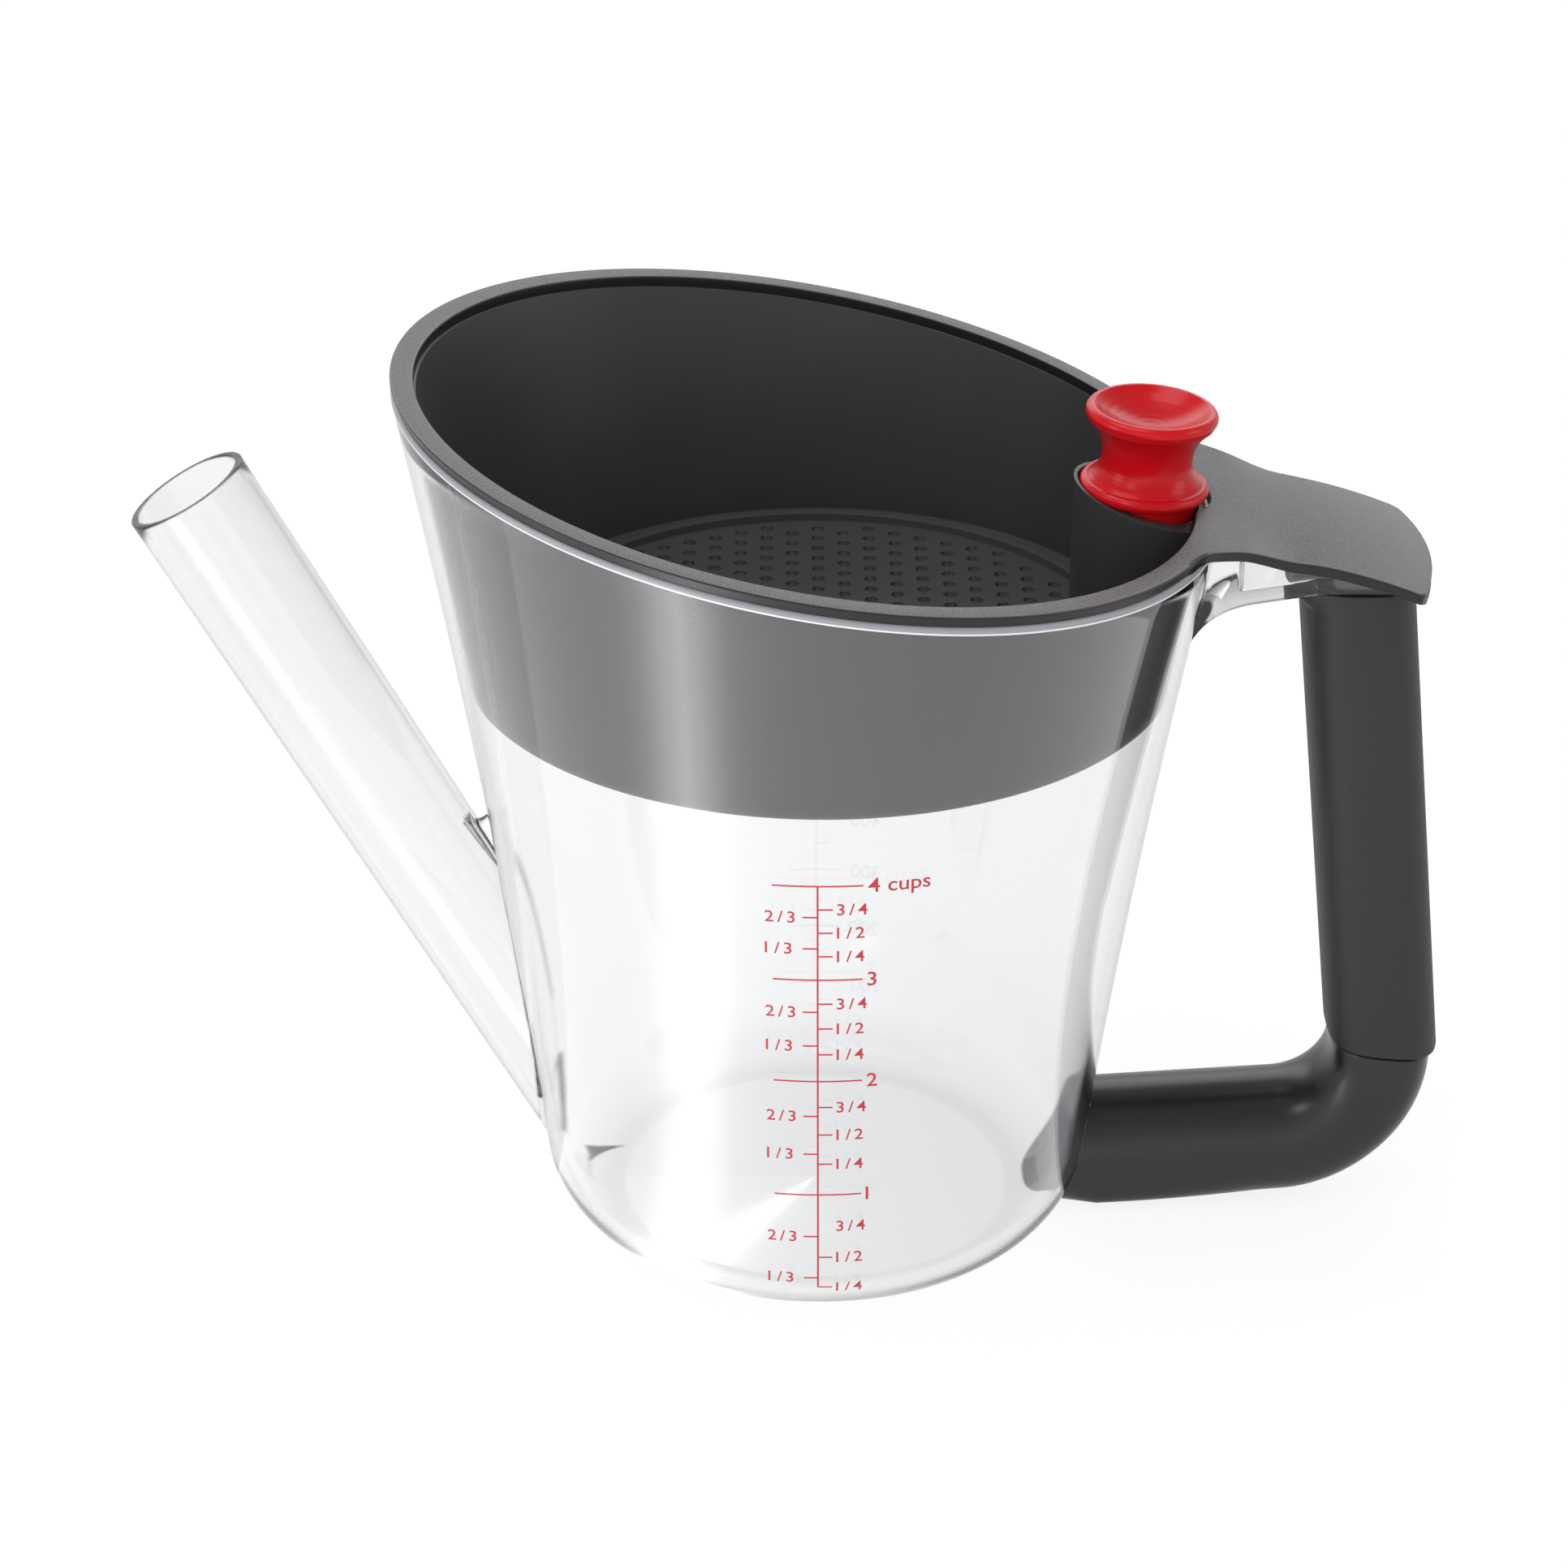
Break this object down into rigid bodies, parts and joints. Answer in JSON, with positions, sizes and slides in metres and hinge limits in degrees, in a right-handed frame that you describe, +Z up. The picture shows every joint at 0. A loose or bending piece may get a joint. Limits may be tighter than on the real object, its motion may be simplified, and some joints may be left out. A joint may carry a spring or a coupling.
{
  "type": "gravy fat separator",
  "caption": "Clear measuring jug with a low spout, a lift-out strainer with a slanted rim, a parked soft stopper, and a soft-grip handle.",
  "frame": {"origin": "centre of the cup's flat foot, on the surface it stands on", "axes": "+Z up along the cup's axis, +X towards the handle, the spout towards -X, the printed scale on -Y"},
  "size_m": [0.242, 0.1474, 0.1706],
  "materials": {
    "clear_cup": "clear moulded plastic, polished",
    "clear_spout": "clear moulded plastic, polished",
    "clear_bracket": "clear moulded plastic, polished",
    "hard_black": "satin moulded plastic",
    "soft_grip": "matte soft-touch rubber",
    "strainer_black": "satin moulded plastic",
    "strainer_grey": "fine-grained moulded plastic",
    "strainer_floor": "satin moulded plastic, perforated",
    "stopper_red": "satin silicone rubber"
  },
  "bodies": {
    "jug": {"cup": "clear_cup", "pour_spout": "clear_spout", "handle_bracket": "clear_bracket", "handle_frame": "hard_black", "handle_grip": "soft_grip"},
    "strainer": {"strainer_basket": "strainer_black", "strainer_rim": "strainer_grey", "strainer_floor": "strainer_floor"},
    "stopper": {"stopper": "stopper_red"}
  },
  "joints": [
    {"name": "strainer_lift", "type": "slide", "parent": "jug", "child": "strainer", "axis": [0, 0, 1], "range_m": [0, 0.075]},
    {"name": "stopper_pull", "type": "slide", "parent": "strainer", "child": "stopper", "axis": [0.061, 0, 0.9981], "range_m": [0, 0.03]}
  ]
}
